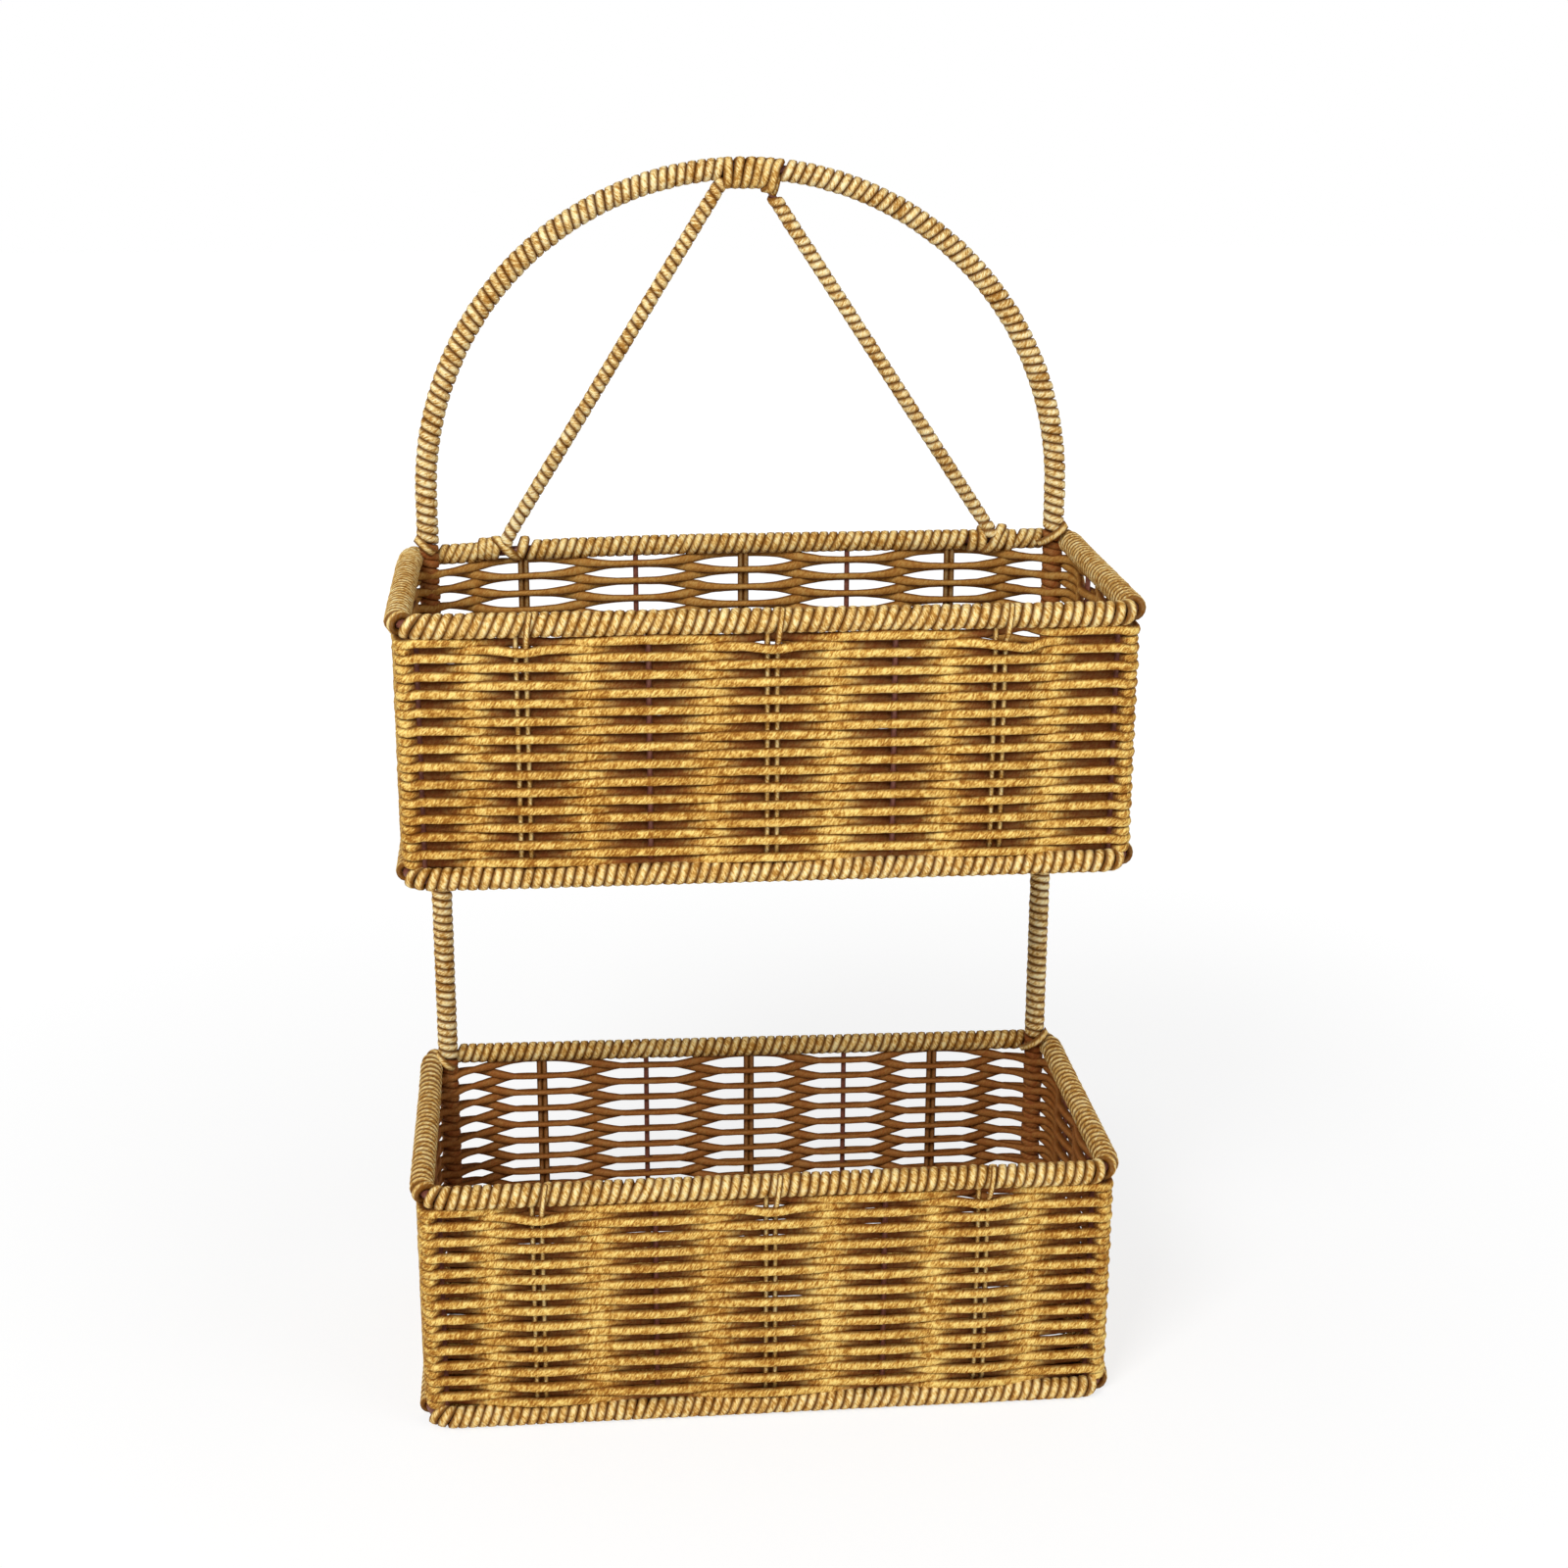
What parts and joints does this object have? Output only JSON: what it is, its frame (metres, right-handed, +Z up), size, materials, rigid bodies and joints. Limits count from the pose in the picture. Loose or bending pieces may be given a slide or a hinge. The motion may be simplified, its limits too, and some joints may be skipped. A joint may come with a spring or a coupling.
{
  "type": "hanging two-tier woven basket shelf",
  "caption": "Hanging wall shelf: a wire hoop wound with paper cord carries two open woven baskets, one above the other, with a braced arch on top.",
  "frame": {"origin": "middle of the lower basket's footprint, on the surface that the shelf stands on", "axes": "+Z up along the hoop's legs, +X along the long rims to the viewer's right, +Y towards the wall that the shelf hangs on"},
  "size_m": [0.3604, 0.1804, 0.6209],
  "materials": {
    "paper_cord": "matte",
    "woven_cord": "matte",
    "frame_wire": "satin"
  },
  "bodies": {
    "root": {"hoop_rod": "frame_wire", "arch_cover_left": "paper_cord", "arch_cover_right": "paper_cord", "leg_cover_left": "paper_cord", "leg_cover_right": "paper_cord", "crown_lashing": "paper_cord", "brace_rod": "frame_wire", "brace_cover_left": "paper_cord", "brace_cover_right": "paper_cord", "foot_lashing_left": "paper_cord", "foot_lashing_right": "paper_cord", "upper_rim_wire": "frame_wire", "upper_rim_cover_front": "paper_cord", "upper_rim_cover_left": "paper_cord", "upper_rim_cover_right": "paper_cord", "upper_rim_cover_back_left": "paper_cord", "upper_rim_cover_back_middle": "paper_cord", "upper_rim_cover_back_right": "paper_cord", "upper_base_wire": "frame_wire", "upper_base_cover_front": "paper_cord", "upper_base_cover_left": "paper_cord", "upper_base_cover_right": "paper_cord", "upper_base_cover_back": "paper_cord", "upper_corner_post_left": "frame_wire", "upper_corner_post_right": "frame_wire", "upper_rib_1": "paper_cord", "upper_rib_2": "frame_wire", "upper_rib_3": "paper_cord", "upper_rib_4": "frame_wire", "upper_rib_5": "paper_cord", "upper_side_wire_1": "frame_wire", "upper_side_wire_2": "frame_wire", "upper_woven_wall": "woven_cord", "upper_woven_floor": "woven_cord", "lower_rim_wire": "frame_wire", "lower_rim_cover_front": "paper_cord", "lower_rim_cover_left": "paper_cord", "lower_rim_cover_right": "paper_cord", "lower_rim_cover_back": "paper_cord", "lower_base_wire": "frame_wire", "lower_base_cover_front": "paper_cord", "lower_base_cover_left": "paper_cord", "lower_base_cover_right": "paper_cord", "lower_base_cover_back": "paper_cord", "lower_corner_post_left": "frame_wire", "lower_corner_post_right": "frame_wire", "lower_rib_1": "paper_cord", "lower_rib_2": "frame_wire", "lower_rib_3": "paper_cord", "lower_rib_4": "frame_wire", "lower_rib_5": "paper_cord", "lower_side_wire_1": "frame_wire", "lower_side_wire_2": "frame_wire", "lower_woven_wall": "woven_cord", "lower_woven_floor": "woven_cord"}
  },
  "joints": []
}
